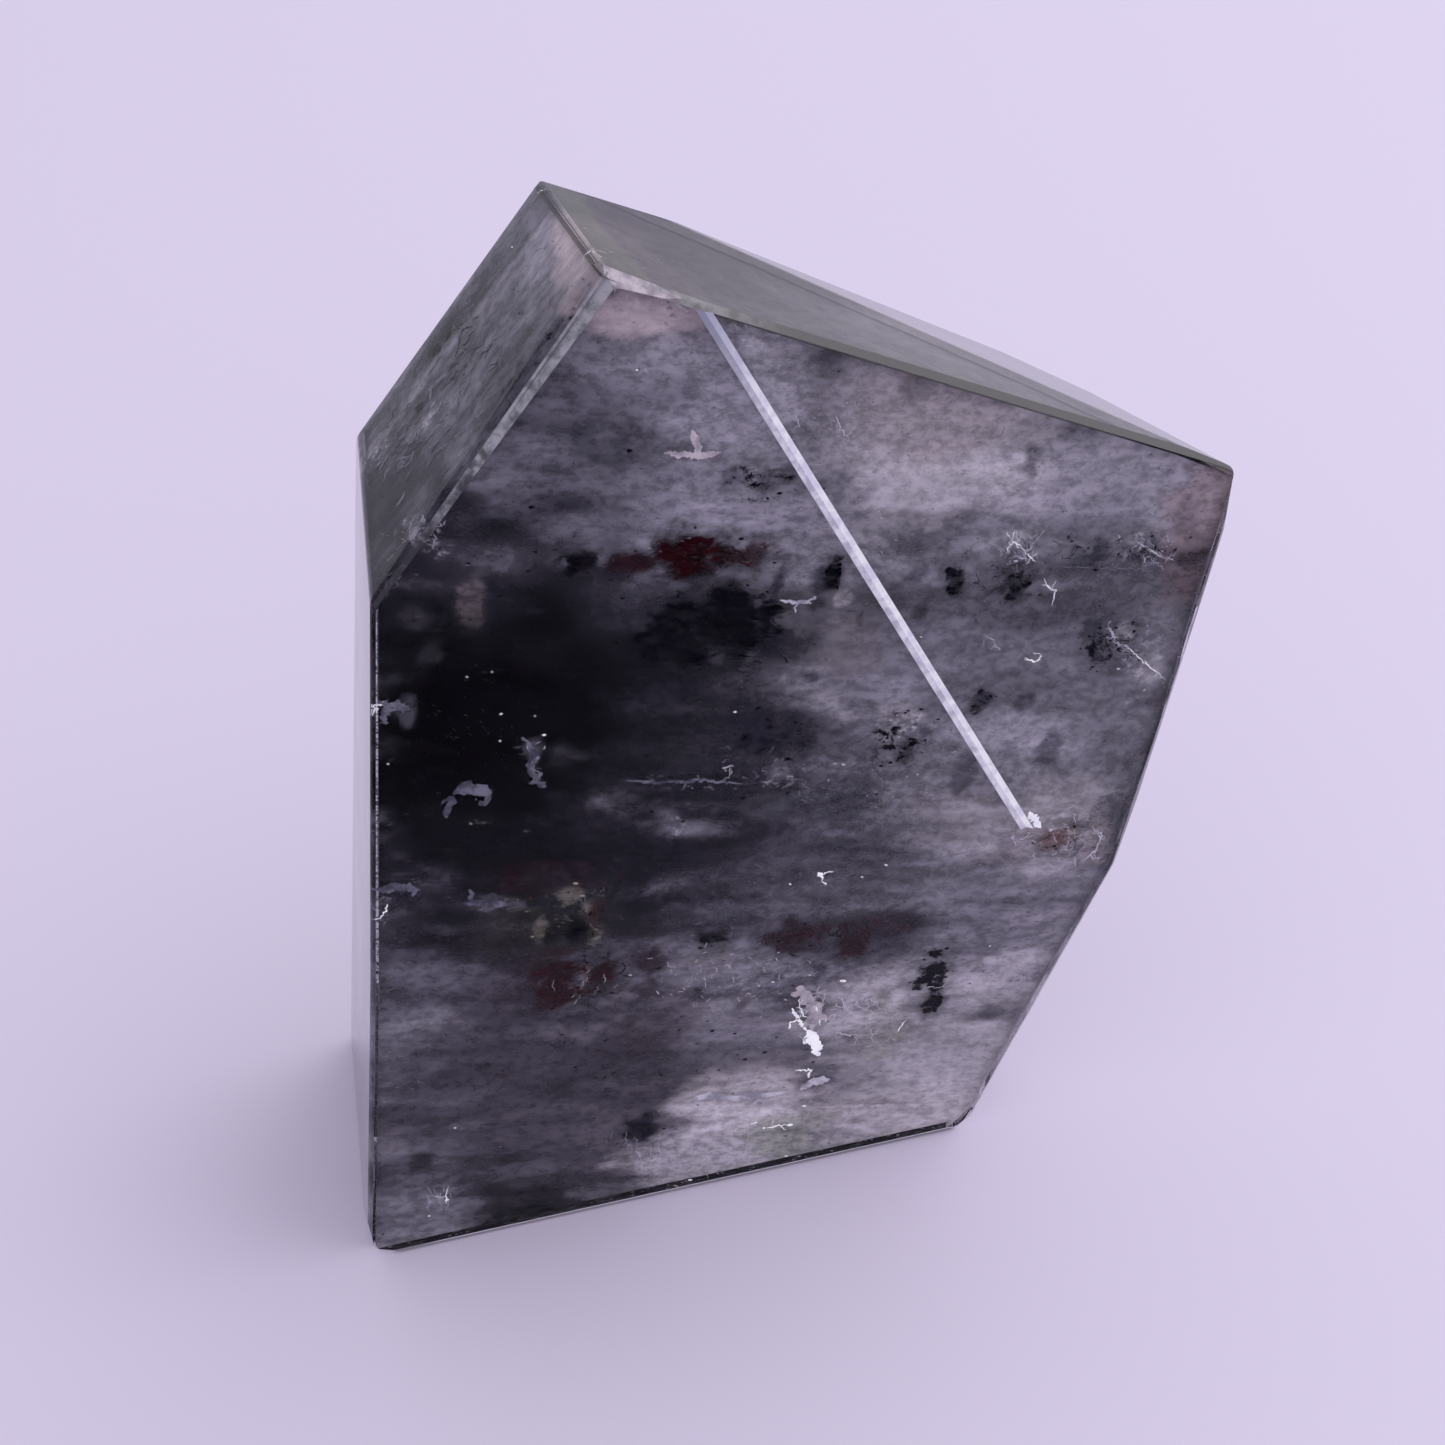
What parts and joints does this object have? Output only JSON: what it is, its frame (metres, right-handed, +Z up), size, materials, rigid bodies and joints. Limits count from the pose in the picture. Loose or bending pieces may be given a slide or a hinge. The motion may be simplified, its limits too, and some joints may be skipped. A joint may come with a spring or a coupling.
{
  "type": "polished quartz freeform",
  "caption": "Free-standing slab of clear smoky quartz, cut to flat polished facets with fine bevels, standing on a level ground base, with wispy mineral inclusions inside.",
  "frame": {"origin": "point on the base facet straight under the stone's middle", "axes": "+Z up, +X to the right along the front bottom edge, +Y to the back"},
  "size_m": [0.0545, 0.0189, 0.0616],
  "materials": {
    "smoky_quartz": "polished",
    "dark_inclusion": "matte",
    "milky_inclusion": "matte",
    "rusty_inclusion": "matte",
    "green_inclusion": "matte"
  },
  "bodies": {
    "root": {"quartz_freeform": "smoky_quartz"}
  },
  "joints": []
}
